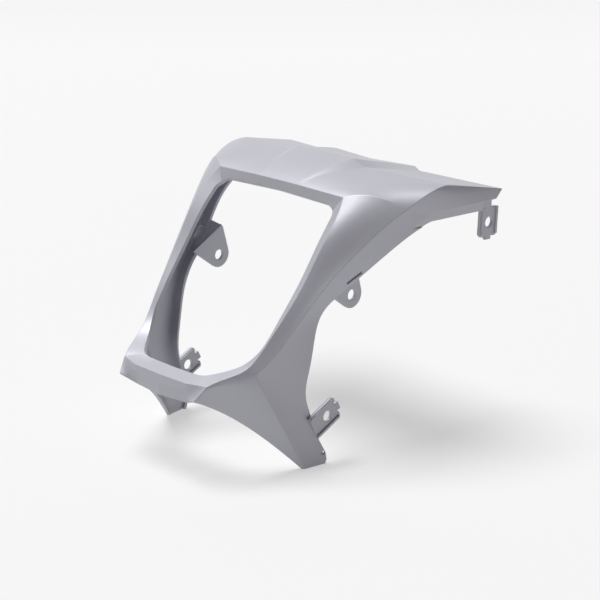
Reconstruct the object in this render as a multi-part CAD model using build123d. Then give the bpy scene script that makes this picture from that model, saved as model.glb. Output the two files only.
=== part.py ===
from build123d import *
import os
from math import comb, cos, radians, sin

import numpy as np

# Headlight cowl: one moulded shell, mirrored about the plane X = 0. Lengths are in mm.
# The origin is in the middle of the axis through the two side lugs, -Y is the front
# and +Z is up.

wall = 2.5
plate = 2.2
hole_radius = 4.0
floor_z = -116.9

# Side lugs: a flat ear in a plane of constant X, on the origin axis. A twisted plate
# joins the ear to the flank, and a slot runs through that plate.
lug_middle_x = 69.6
lug_tip_radius = 9.7
lug_root_front = (-24.0, 6.0)
lug_root_back = (4.3, 21.0)
flank_root_front = (75.4, -24.6, 2.8)
flank_root_back = (85.4, 2.6, 24.4)
lug_root_square = (0, -0.625, 0.78)
lug_slot = (20.0, 12.5, 2.0)
lug_slot_middle = (84.0, -10.6, 17.6)
lug_slot_angle = 33.5

# Fixing tabs, lower one behind the leg and rear one under the wing
tab_half_width = 9.3
tab_reach = 10.6
tab_corner = 1.5
tongue_half_width = 3.0
tongue_reach = 12.9
relief_size = (1.2, 2.0)
rib_width = 2.0
rib_height = 1.0
rib_inset = 0.6
lower_tab_middle_x = 74.4
lower_tab_hole = (-28.8, -82.2)
lower_tab_angle = 25.5
lower_tab_root = 15.0
rear_tab_middle_x = 104.0
rear_tab_hole = (106.5, 39.2)
rear_tab_angle = -93.0
rear_tab_root = 11.0

# The rear tab hangs on a neck and a shelf inside the side wall of the wing
neck_size = (plate, 10.0, 12.5)
neck_foot = (99.0, 48.0)
shelf_size = (4.5, 8.0, 2.5)
shelf_foot = (99.0, 58.0)

# Lamp opening, cut square to the plane of the lamp. The plane leans back from upright.
lamp_lean = 36.87
lamp_plane_distance = 44.4
opening_top = 49.0
opening_bottom = -99.5
opening_top_corner = [(49.5, 47.6), (57.3, 44.0), (60.2, 36.0)]
opening_side = [(60.2, 36.0), (61.2, 6.0), (58.2, -59.0)]
opening_low_corner = [(58.2, -59.0), (54.3, -72.5), (46.6, -84.9), (37.6, -94.0), (26.0, -99.0)]

# Rear and lower outline seen from the side, as Y and Z. The rear edge is turned in.
wing_points = [(150, 90), (131, 76), (115.6, 63.0), (109.4, 57.0), (97.0, 56.5), (97.0, 50.2), (47.0, 50.6)]
flank_points = [(47.0, 50.6), (29.3, 43.7), (2.4, 24.3), (-24.2, 3.0)]
waist_points = [(-24.2, 3.0), (-35.4, -9.5), (-40.3, -24.5)]
leg_points = [(-40.3, -24.5), (-44.2, -44.0), (-47.0, -60.0), (-46.0, -69.0)]
foot_points = [(-46.0, -69.0), (-37.8, -96.0), (-31.5, -109.0), (-31.0, -114.0), (-32.5, floor_z)]
rear_return = 8.0
return_depth = 1.9
foot_slot = (2.6, 5.0, 2.8)
foot_slot_middle = (75.0, -32.5, -108.5)
return_end_z = -106.0
return_end_x = 72.6

# Band set back along the lower edge of the wing's side wall
band_top = [(102.0, 31.0, 56.8), (108.2, 98.5, 56.8)]
band_bottom = [(99.9, 31.0, 48.0), (107.3, 98.5, 48.0)]

# Sections round the lamp opening. Each runs from inside the opening (lip) over the
# bezel crease and the ridge to the outer edge. The visor rises above the straight
# line from crease to ridge, near the crease first and then near the ridge.
top_middle = dict(lip=(0, -4.8, 58.0), bezel=(0, -4.0, 71.4),
                  ridge=(0, 44.1, 83.8), edge=(0, 93.0, 70.6))
top_panel = dict(lip=(20.5, -5.4, 58.0), bezel=(20.5, -3.9, 71.3),
                 ridge=(28.4, 44.1, 83.6), edge=(41.2, 96.6, 71.3))
top_step = dict(lip=(21.5, -5.4, 58.0), bezel=(21.5, -3.9, 71.3),
                ridge=(39.7, 45.8, 78.9), edge=(53.5, 88.4, 71.3))
chin_side = dict(lip=(12.0, -94.0, -43.4), bezel=(26.8, -118.0, -47.3),
                 ridge=(26.8, -118.3, -52.0), edge=(26.8, -117.0, -62.0))
chin_middle = dict(lip=(0, -94.0, -43.4), bezel=(0, -118.3, -47.5),
                   ridge=(0, -119.5, -54.0), edge=(0, -119.5, -62.4))
middle_rise = (5.6, 10.0)
panel_rise = (5.6, 9.8)
step_rise = (5.4, 8.0)

# Wing: its rear corner, the crest above the flank and the rear end of the side wall.
# Two curves cross it, from the crease to the corner and along the shoulder.
wing_corner = dict(ridge=(104.0, 61.6, 74.9), edge=(109.0, 115.4, 63.3))
shoulder_crest = (106.8, 42.7, 76.0)
shoulder_rear = (110.0, 113.5, 50.0)
wing_inside = [(50.0, 6.0, 75.6), (78.0, 34.0, 78.6)]
shoulder_inside = [(76.0, 6.0, 75.0), (88.5, 14.0, 72.5)]

# Rows of the flank, from the shoulder below the wing down to the front of the leg
flank_lip = [(56.2, -7.2, 57.4), (55.2, -13.6, 50.0), (54.5, -22.0, 39.5),
             (54.5, -31.0, 27.0), (54.0, -43.7, 10.6), (54.5, -57.0, -6.0),
             (52.0, -68.5, -23.0), (48.0, -74.5, -30.0), (42.0, -83.5, -36.8)]
flank_bezel = [(63.6, -2.2, 69.9), (67.5, -11.5, 60.0), (69.0, -23.0, 47.5),
               (68.3, -34.0, 32.0), (67.0, -47.5, 12.5), (64.5, -61.5, -5.5),
               (61.0, -74.5, -22.3), (59.3, -80.8, -30.0), (57.5, -86.5, -35.3)]
flank_ridge = [(100.7, 22.1, 62.9), (97.9, 13.9, 57.8), (94.5, 5.0, 51.5),
               (85.5, -16.0, 33.0), (78.5, -35.5, 13.5), (72.5, -54.5, -8.5),
               (67.8, -70.0, -27.0), (64.8, -77.8, -34.7), (61.5, -85.0, -41.3)]
flank_edge = [(110.0, 110.0, 36.5), (108.0, 88.0, 27.0), (104.0, 62.0, 18.0),
              (88.0, 22.0, 0.0), (75.5, 2.0, -10.0), (75.5, -10.0, -28.0),
              (80.5, -10.0, -62.0), (82.0, -2.0, -119.0), (75.0, -48.0, -121.0)]
# How far the flank is hollowed along the ridge, below the shoulder
flank_hollow = (-1.2, 2.0, -1.2)

# Rows of the leg front, from the leg to the beak at the corner of the chin
leg_lip = [(42.0, -83.5, -36.8), (32.0, -88.5, -39.3), (25.0, -92.0, -40.3), (19.2, -95.1, -40.8)]
leg_bezel = [(57.5, -86.5, -35.3), (54.4, -94.8, -39.5), (50.0, -103.2, -42.1), (44.0, -113.7, -46.4)]
leg_ridge = [(61.5, -85.0, -41.3), (57.5, -91.7, -44.0), (52.0, -101.0, -45.6), (43.3, -115.5, -48.5)]
leg_edge = [(75.0, -48.0, -121.0), (61.5, -70.0, -96.0), (51.5, -89.0, -78.0), (39.6, -122.3, -56.4)]


def bernstein(count, share):
    degree = count - 1
    return [comb(degree, k) * share**k * (1 - share) ** (degree - k) for k in range(count)]


def travelled(*rows):
    """Share of the way along the rows at which each of their points comes."""
    steps = sum(np.linalg.norm(np.diff(np.array(row), axis=0), axis=1) for row in rows)
    return np.concatenate([[0], np.cumsum(steps)]) / steps.sum()


def smooth(points, shares, degree):
    """Control points of the Bezier curve nearest the points, through the first and the last."""
    points = np.array(points, float)
    matrix = np.array([bernstein(degree + 1, share) for share in shares])
    rest = points - np.outer(matrix[:, 0], points[0]) - np.outer(matrix[:, -1], points[-1])
    inside = np.linalg.lstsq(matrix[:, 1:-1], rest, rcond=None)[0]
    return np.array([points[0], *inside, points[-1]])


def blend(start, end, count=4):
    """Rows of control points spread evenly from one row to another."""
    return np.array([start * (1 - share) + end * share for share in np.linspace(0, 1, count)])


def face(net):
    return Face.make_bezier_surface([[tuple(point) for point in row] for row in net])


# Nets of control points for the outer skin. Rows run round the opening,
# columns run from the opening to the outer edge.
def crown(section, rises):
    """Cross curve of the visor, steep behind the bezel crease and then flatter."""
    start, end = np.array(section["bezel"], float), np.array(section["ridge"], float)
    run = end - start
    first = start + run * (0.12, 0.2, 0) + (0, 0, rises[0])
    second = start + run * (0.55, 0.6, 0) + (0, 0, rises[1])
    return np.array([start, first, second, end])


def between(name, first, second, parts):
    """Flat nets between two sections."""
    for upper, lower in parts:
        net = np.array([[first[upper], second[upper]], [first[lower], second[lower]]], float)
        nets[f"{name}_{lower}"] = net


nets = {}
middle_cross = crown(top_middle, middle_rise)
panel_cross = crown(top_panel, panel_rise)
step_cross = crown(top_step, step_rise)
corner = dict(lip=flank_lip[0], bezel=flank_bezel[0], ridge=flank_ridge[0], edge=flank_edge[0])
wing = dict(wing_corner)
for part in ("lip", "bezel"):
    wing[part] = (np.array(top_step[part]) + corner[part]) / 2
wing_cross = np.array([wing["bezel"], *wing_inside, wing["ridge"]])
corner_cross = np.array([corner["bezel"], *shoulder_inside, corner["ridge"]])
top_parts = (("lip", "bezel"), ("ridge", "edge"))
between("panel", top_middle, top_panel, top_parts)
between("step", top_panel, top_step, top_parts)
between("wing", top_step, wing, top_parts)
nets["panel_ridge"] = np.stack([middle_cross, panel_cross], axis=1)
nets["step_ridge"] = np.stack([panel_cross, step_cross], axis=1)
nets["wing_ridge"] = np.stack([step_cross, wing_cross], axis=1)
shoulder_cross = (wing_cross + corner_cross) / 2
shoulder_cross[-1] = shoulder_crest
nets["shoulder_ridge"] = np.stack([wing_cross, shoulder_cross, corner_cross], axis=1)
nets["shoulder_bezel"] = np.array([[wing["lip"], (wing["lip"] + corner["lip"]) / 2, corner["lip"]],
                                   nets["shoulder_ridge"][0]])
nets["shoulder_edge"] = np.array([nets["shoulder_ridge"][-1], [wing["edge"], shoulder_rear, corner["edge"]]])

# The flank bulges under the shoulder and is hollow along the ridge. Both fade out down to the leg.
flank_shares = travelled(flank_bezel, flank_ridge)
lip_row, bezel_row, ridge_row, edge_row = (
    smooth(row, flank_shares, 6) for row in (flank_lip, flank_bezel, flank_ridge, flank_edge))
flank_rows = blend(bezel_row, ridge_row)
bulge = corner_cross - flank_rows[:, 0]
for column in range(1, len(bezel_row)):
    fade = 1 - column / (len(bezel_row) - 1)
    flank_rows[:, column] += bulge * fade**4
    flank_rows[2, column] += np.array(flank_hollow) * fade
flank_rows[:, 0] = corner_cross
nets["flank_bezel"] = np.array([lip_row, flank_rows[0]])
nets["flank_ridge"] = flank_rows
nets["flank_edge"] = np.array([flank_rows[-1], edge_row])

leg_rows = [smooth(row, travelled(row), 3) for row in (leg_lip, leg_bezel, leg_ridge, leg_edge)]
nets["leg_bezel"] = np.array(leg_rows[:2])
nets["leg_ridge"] = blend(leg_rows[1], leg_rows[2])
nets["leg_edge"] = np.array(leg_rows[2:])

beak = dict(lip=leg_lip[-1], bezel=leg_bezel[-1], ridge=leg_ridge[-1], edge=leg_edge[-1])
chin_parts = (("lip", "bezel"), ("ridge", "edge"))
for name, first, second in (("facet", beak, chin_side), ("chin", chin_side, chin_middle)):
    between(name, first, second, chin_parts)
    bezel_side = np.array([first["bezel"], second["bezel"]], float)
    ridge_side = np.array([first["ridge"], second["ridge"]], float)
    nets[f"{name}_ridge"] = blend(bezel_side, ridge_side)


# Inner skin: points of the outer skin move one wall into the part, square to every
# panel that meets there. Points on the mirror plane stay on it. Where panels meet
# almost flat, the ease keeps a point from sliding sideways.
ease = 0.02


def weights(count):
    """Bernstein weights at even shares, and their slopes."""
    shares = np.linspace(0, 1, count)
    values = np.array([bernstein(count, share) for share in shares])
    lower = np.array([[0] + bernstein(count - 1, share) + [0] for share in shares])
    return values, (count - 1) * (lower[:, :-1] - lower[:, 1:])


def sampled(net):
    """Points and unit normals of the net's surface at even shares."""
    rows, row_slopes = weights(net.shape[0])
    columns, column_slopes = weights(net.shape[1])
    points = np.einsum("ai,bj,ijk->abk", rows, columns, net)
    square = np.cross(np.einsum("ai,bj,ijk->abk", row_slopes, columns, net),
                      np.einsum("ai,bj,ijk->abk", rows, column_slopes, net))
    return points, square / np.linalg.norm(square, axis=2, keepdims=True)


def key(point):
    return tuple(np.round(point, 3) + 0.0)


def moved_in(nets, depth):
    meeting = {}
    for net in nets.values():
        points, normals = sampled(net)
        for point, normal in zip(points.reshape(-1, 3), normals.reshape(-1, 3)):
            meeting.setdefault(key(point), []).append(normal)
    # round the chin the bezel and the ridge lie close together and move as one
    for name in ("leg_ridge", "facet_ridge", "chin_ridge"):
        points = sampled(nets[name])[0]
        for column in range(points.shape[1]):
            keys = [key(point) for point in points[:, column]]
            together = [normal for item in keys for normal in meeting[item]]
            meeting.update((item, together) for item in keys)
    result = {}
    for name, net in nets.items():
        points = sampled(net)[0]
        for index in np.ndindex(net.shape[:2]):
            directions = np.array(meeting[key(points[index])])
            if abs(points[index][0]) < 0.001:
                directions[:, 0] = 0
            products = directions @ directions.T + ease * np.eye(len(directions))
            points[index] += directions.T @ np.linalg.solve(products, np.full(len(directions), depth))
        rows = np.linalg.inv(weights(net.shape[0])[0])
        columns = np.linalg.inv(weights(net.shape[1])[0])
        result[name] = np.einsum("ai,bj,ijk->abk", rows, columns, points)
    # the flank narrows downwards, so there its inner rows follow its two creases
    outer, skin = nets["flank_ridge"], result["flank_ridge"]
    follow = outer - blend(outer[0], outer[-1]) + blend(skin[0], skin[-1])
    skin[:, 1:] = follow[:, 1:]
    return result


inner = moved_in(nets, wall)
rims = []
for name in nets:
    panel, part = name.split("_")
    if part == "bezel":
        rims.append(face([nets[name][0], inner[name][0]]))
    if part == "edge":
        rims.append(face([nets[name][-1], inner[name][-1]]))
    if panel == "panel":
        rims.append(face([nets[name][:, 0], inner[name][:, 0]]))
    if panel == "chin":
        rims.append(face([nets[name][:, -1], inner[name][:, -1]]))
skins = [face(net) for net in nets.values()] + [face(net) for net in inner.values()]
cowl = Solid(Shell(Face.sew_faces(skins + rims)[0]))

# The cutting bodies reach well past the shell
cut_depth = 70
far_back = 150
far_down = floor_z - 25

# Lamp opening: half of a rounded outline, cut through along the lamp's axis
lamp_normal = Vector(0, -cos(radians(lamp_lean)), sin(radians(lamp_lean)))
lamp_plane = Plane(origin=lamp_normal * lamp_plane_distance, x_dir=(1, 0, 0), z_dir=lamp_normal)
past_middle = -1
top_corner = ThreePointArc(*opening_top_corner)
top_edge = Polyline((0, opening_bottom), (past_middle, opening_bottom), (past_middle, opening_top),
                    (0, opening_top), opening_top_corner[0])
side_edge = ThreePointArc(*opening_side)
low_corner = Spline(*opening_low_corner, tangents=[side_edge % 1, (-1, -0.1)])
bottom_edge = Line(opening_low_corner[-1], (0, opening_bottom))
opening = make_face([*top_edge.edges(), top_corner, side_edge, low_corner, bottom_edge])
cowl -= extrude(lamp_plane * opening, cut_depth, both=True)

# Side outline: what lies behind this line is cut away, and the legs end on the floor.
# The rear edge of the flank and the leg is turned in along that line first.
inboard_x = 62
flank_line = Spline(*flank_points)
waist_line = Spline(*waist_points, tangents=[flank_line % 1, (-0.2, -1)])
leg_line = Spline(*leg_points, tangents=[waist_line % 1, (0.25, -1)])
foot_line = Polyline(*foot_points, (foot_points[-1][0], far_down), (far_back, far_down), wing_points[0])
outline = [*Polyline(*wing_points).edges(), flank_line, waist_line, leg_line, *foot_line.edges()]
behind = Plane.YZ.offset(inboard_x) * make_face(outline)
turned = Pos(-wall / 2, 0, 0) * extrude(face(nets["flank_edge"]), rear_return, dir=(-1, 0, 0))
cowl += turned & extrude(Pos(0, -return_depth, return_depth) * behind, cut_depth)
cowl -= extrude(behind, cut_depth)
cowl -= extrude(face([band_top, band_bottom]), cut_depth, dir=(1, 0, 0))

# The turned edge ends above the foot, where the leg has a slot and stands on the floor
return_end = Pos(return_end_x, foot_slot_middle[1], return_end_z)
cowl -= return_end * Box(20, 20, 40, align=(Align.MAX, Align.CENTER, Align.MAX))
cowl -= Pos(foot_slot_middle) * Box(*foot_slot)
below = Box(2 * far_back, 2 * far_back, 50, align=(Align.CENTER, Align.CENTER, Align.MAX))
cowl -= Pos(0, 0, floor_z) * below

# Side lug: an ear on the axis, joined to the turned rear edge by a twisted root plate
lug_low_x = lug_middle_x - plate / 2
ear_root = Polyline(lug_root_front, (lug_root_front[0] + 1.2, lug_root_front[1] + 1.6),
                    (lug_root_back[0] - 1.4, lug_root_back[1] + 2), lug_root_back, lug_root_front)
ear = make_hull([*Circle(lug_tip_radius).edges(), *ear_root.edges()]) - Circle(hole_radius)
ear_side = [(lug_low_x, *lug_root_front), (lug_low_x, *lug_root_back)]
root = extrude(face([ear_side, [flank_root_front, flank_root_back]]), plate, dir=lug_root_square)
cowl += extrude(Plane.YZ.offset(lug_low_x) * ear, plate) + root
cowl -= Pos(lug_slot_middle) * Rot(lug_slot_angle, 0, 0) * Box(*lug_slot)


def tab(middle_x, hole, angle, root_reach):
    """Fixing tab in a plane of constant X, with a tongue at its tip and a rib along each side."""
    length = tab_reach + root_reach
    flat = Pos(tab_reach - length / 2, 0) * Rectangle(length, 2 * tab_half_width)
    flat = chamfer(flat.vertices().group_by(Axis.X)[-1], tab_corner)
    flat += Pos(tongue_reach / 2, 0) * Rectangle(tongue_reach, 2 * tongue_half_width)
    flat -= Circle(hole_radius)
    for side in (-1, 1):
        relief_y = side * (tongue_half_width + relief_size[1] / 2)
        flat -= Pos(tab_reach, relief_y) * Rectangle(2 * relief_size[0], relief_size[1])
    body = extrude(flat, plate / 2, both=True)
    rib_length = length - tab_corner
    rib = Box(rib_length, rib_width, plate + 2 * rib_height)
    rib_y = tab_half_width - rib_inset - rib_width / 2
    for side in (-1, 1):
        body += Pos(rib_length / 2 - root_reach, side * rib_y, 0) * rib
    along = (0, cos(radians(angle)), sin(radians(angle)))
    return Plane(origin=(middle_x, *hole), x_dir=along, z_dir=(1, 0, 0)) * body


cowl += tab(lower_tab_middle_x, lower_tab_hole, lower_tab_angle, lower_tab_root)
cowl += tab(rear_tab_middle_x, rear_tab_hole, rear_tab_angle, rear_tab_root)
tab_low_x = rear_tab_middle_x - plate / 2
cowl += Pos(tab_low_x, *neck_foot) * Box(*neck_size, align=Align.MIN)
cowl += Pos(tab_low_x, *shelf_foot) * Box(*shelf_size, align=Align.MIN)

headlight_cowl = cowl + mirror(cowl, Plane.YZ)
headlight_cowl.label = "headlight_cowl"
headlight_cowl.color = Color(0.62, 0.63, 0.65)
os.makedirs("parts", exist_ok=True)
export_step(headlight_cowl, "parts/headlight_cowl.step")
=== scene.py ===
from math import cos, radians, sin

import bmesh
import bpy
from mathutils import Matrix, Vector


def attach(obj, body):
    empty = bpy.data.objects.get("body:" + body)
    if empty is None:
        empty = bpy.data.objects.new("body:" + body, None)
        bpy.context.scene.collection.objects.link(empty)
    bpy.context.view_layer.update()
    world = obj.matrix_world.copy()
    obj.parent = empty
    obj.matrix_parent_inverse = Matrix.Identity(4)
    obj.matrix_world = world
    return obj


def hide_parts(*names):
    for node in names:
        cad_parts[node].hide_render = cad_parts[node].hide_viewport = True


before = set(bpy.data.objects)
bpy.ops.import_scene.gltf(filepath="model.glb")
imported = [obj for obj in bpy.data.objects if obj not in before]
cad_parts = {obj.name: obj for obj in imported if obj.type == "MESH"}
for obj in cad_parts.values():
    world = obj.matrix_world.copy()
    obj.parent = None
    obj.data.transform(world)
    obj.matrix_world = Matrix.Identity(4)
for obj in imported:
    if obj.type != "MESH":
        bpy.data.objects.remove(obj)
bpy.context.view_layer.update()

# Places and lengths are in metres
MERGE_DISTANCE = 0.00001

# Creases steeper than this stay sharp. The front of the leg is smoother.
CREASE = radians(7)
LEG_CREASE = radians(25)
LEG_TOP_Z = -0.03
LEG_FRONT_Y = -0.1
LEG_INNER_X = 0.05

# Moulded creases are shaded as if rounded by this radius, and the orange peel is this deep
CREASE_RADIUS = 0.0009
PEEL_DEPTH = 0.0004

# Camera: it looks at a point a little behind and below the lug axis
AZIMUTH = radians(45.5)
ELEVATION = radians(18.0)
DISTANCE = 1.3704
TARGET = Vector((0, 0.0183, -0.0244))
LENS = 111.0
SENSOR = 36.0

# Paper floor: its section as distance away from the camera and height, curved up at the back
FLOOR_Z = -0.1169
FLOOR_HALF_WIDTH = 4.0
FLOOR_SECTION = [(-3.0, 0.0), (1.6, 0.0), (2.3, 0.25), (2.7, 0.9), (2.8, 3.0)]
FLOOR_GREY = 0.33
FLOOR_GLOW = 0.50

# Lights: each stands in its direction from the lug axis
KEY_DIRECTION = (-0.25, -0.12, 1)
KEY_DISTANCE = 2.0
KEY_STRENGTH = 3.7
KEY_SPREAD = radians(34)
FILL_DIRECTION = (-1.2, -1.0, 0.5)
FILL_DISTANCE = 1.5
FILL_SIZE = 2.0
FILL_POWER = 3.0
AMBIENT = 0.07


class Value:
    """A shader socket that can stand in Python sums."""

    def __init__(self, finish, socket):
        self.finish = finish
        self.socket = socket

    def math(self, operation, first, second):
        return self.finish.node("ShaderNodeMath", {"operation": operation}, {0: first, 1: second})

    def __add__(self, other):
        return self.math("ADD", self, other)

    def __radd__(self, other):
        return self.math("ADD", other, self)

    def __mul__(self, other):
        return self.math("MULTIPLY", self, other)

    def __rmul__(self, other):
        return self.math("MULTIPLY", other, self)


class Finish:
    """A node material, and the one way to add a node to it."""

    def __init__(self, name):
        self.material = bpy.data.materials.new(name)
        self.material.use_nodes = True
        self.nodes = self.material.node_tree.nodes
        self.links = self.material.node_tree.links
        self.shader = self.nodes["Principled BSDF"]

    def connect(self, node, sockets):
        for key, value in sockets.items():
            if isinstance(value, Value):
                self.links.new(value.socket, node.inputs[key])
            else:
                node.inputs[key].default_value = value

    def node(self, kind, settings, sockets, output=0):
        """Add a node with its settings and sockets, and give one of its outputs."""
        node = self.nodes.new(kind)
        for key, value in settings.items():
            setattr(node, key, value)
        self.connect(node, sockets)
        return Value(self, node.outputs[output])

    def feed(self, **sockets):
        """Set the shader's own sockets, with underscores for the spaces in their names."""
        self.connect(self.shader, {name.replace("_", " "): value for name, value in sockets.items()})


def silver_paint():
    """Satin silver paint: faint clouds and flakes in its colour, and a slight orange peel."""
    paint = Finish("silver_paint")
    place = paint.node("ShaderNodeTexCoord", {}, {}, "Object")

    def noise(scale, detail):
        sockets = {"Vector": place, "Scale": scale, "Detail": detail}
        return paint.node("ShaderNodeTexNoise", {}, sockets, "Fac")

    cloud = noise(scale=18.0, detail=3.0)
    flake = noise(scale=2600.0, detail=1.0)
    peel = noise(scale=420.0, detail=2.0)
    dark, light = (0.41, 0.41, 0.455, 1), (0.49, 0.49, 0.545, 1)
    tint = paint.node("ShaderNodeMix", {"data_type": "RGBA"},
                      {0: cloud * 0.5 + flake * 0.5, 6: dark, 7: light}, 2)
    rounded = paint.node("ShaderNodeBevel", {"samples": 8}, {"Radius": CREASE_RADIUS})
    bump = paint.node("ShaderNodeBump", {}, {"Strength": 0.04, "Distance": PEEL_DEPTH,
                                             "Height": peel, "Normal": rounded})
    paint.feed(Base_Color=tint, Metallic=0.3, Roughness=0.44 + cloud * 0.1)
    paint.feed(Coat_Weight=0.25, Coat_Roughness=0.3, Normal=bump)
    return paint.material


def paper():
    """Pale paper that glows a little, as on a light table, which keeps the shadow pale."""
    sheet = Finish("paper")
    sheet.feed(Base_Color=(FLOOR_GREY, FLOOR_GREY, FLOOR_GREY, 1), Roughness=0.95, Specular_IOR_Level=0.1)
    sheet.feed(Emission_Color=(1, 1, 1, 1), Emission_Strength=FLOOR_GLOW)
    return sheet.material


def crease_limit(edge):
    """The angle above which this edge stays sharp."""
    middle = (edge.verts[0].co + edge.verts[1].co) / 2
    on_leg = middle.z < LEG_TOP_Z and middle.y > LEG_FRONT_Y and abs(middle.x) > LEG_INNER_X
    return LEG_CREASE if on_leg else CREASE


def cowl_shell():
    """The moulded shell: one mesh of the solid's own form, smooth between its creases."""
    shell = bpy.data.objects.new("cowl_shell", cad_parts["headlight_cowl"].data.copy())
    bpy.context.scene.collection.objects.link(shell)
    mesh = bmesh.new()
    mesh.from_mesh(shell.data)
    bmesh.ops.remove_doubles(mesh, verts=mesh.verts, dist=MERGE_DISTANCE)
    for edge in mesh.edges:
        edge.smooth = not (edge.is_manifold and edge.calc_face_angle() > crease_limit(edge))
    for face in mesh.faces:
        face.smooth = True
    mesh.to_mesh(shell.data)
    mesh.free()
    shell.data.materials.clear()
    shell.data.materials.append(silver_paint())
    return shell


def paper_floor():
    """A wide sheet under the cowl that curves up behind it, square to the camera."""
    sheet = bpy.data.meshes.new("floor")
    mesh = bmesh.new()
    across = Vector((cos(AZIMUTH), sin(AZIMUTH), 0))
    away = Vector((-sin(AZIMUTH), cos(AZIMUTH), 0))
    sides = (-FLOOR_HALF_WIDTH, FLOOR_HALF_WIDTH)
    rows = []
    for depth, height in FLOOR_SECTION:
        middle = away * depth + Vector((0, 0, FLOOR_Z + height))
        rows.append([mesh.verts.new(middle + across * side) for side in sides])
    for near, far in zip(rows, rows[1:]):
        mesh.faces.new((near[0], near[1], far[1], far[0])).smooth = True
    mesh.to_mesh(sheet)
    mesh.free()
    sheet.materials.append(paper())
    floor = bpy.data.objects.new("floor", sheet)
    bpy.context.scene.collection.objects.link(floor)
    return floor


def place_light(name, light, direction, distance):
    item = bpy.data.objects.new(name, light)
    away = Vector(direction).normalized()
    item.location = away * distance
    item.rotation_euler = away.to_track_quat("Z", "Y").to_euler()
    bpy.context.scene.collection.objects.link(item)


def studio_lights():
    """A broad soft key overhead, a weak fill from the left of the camera, and a faint sky."""
    key = bpy.data.lights.new("key", "SUN")
    key.energy = KEY_STRENGTH
    key.angle = KEY_SPREAD
    place_light("key", key, KEY_DIRECTION, KEY_DISTANCE)
    fill = bpy.data.lights.new("fill", "AREA")
    fill.size = FILL_SIZE
    fill.energy = FILL_POWER
    place_light("fill", fill, FILL_DIRECTION, FILL_DISTANCE)
    world = bpy.data.worlds.new("studio")
    world.use_nodes = True
    sky = world.node_tree.nodes["Background"].inputs
    sky["Color"].default_value = (1, 1, 1, 1)
    sky["Strength"].default_value = AMBIENT
    bpy.context.scene.world = world
    bpy.context.scene.view_settings.view_transform = "Standard"


def camera_in_place():
    back = Vector((sin(AZIMUTH) * cos(ELEVATION), -cos(AZIMUTH) * cos(ELEVATION), sin(ELEVATION)))
    camera = bpy.data.objects.new("camera", bpy.data.cameras.new("camera"))
    camera.data.lens = LENS
    camera.data.sensor_width = SENSOR
    camera.location = TARGET + back * DISTANCE
    camera.rotation_euler = (-back).to_track_quat("-Z", "Y").to_euler()
    bpy.context.scene.collection.objects.link(camera)
    bpy.context.scene.camera = camera


cowl = cowl_shell()
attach(cowl, "root")
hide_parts("headlight_cowl")
paper_floor()
studio_lights()
camera_in_place()
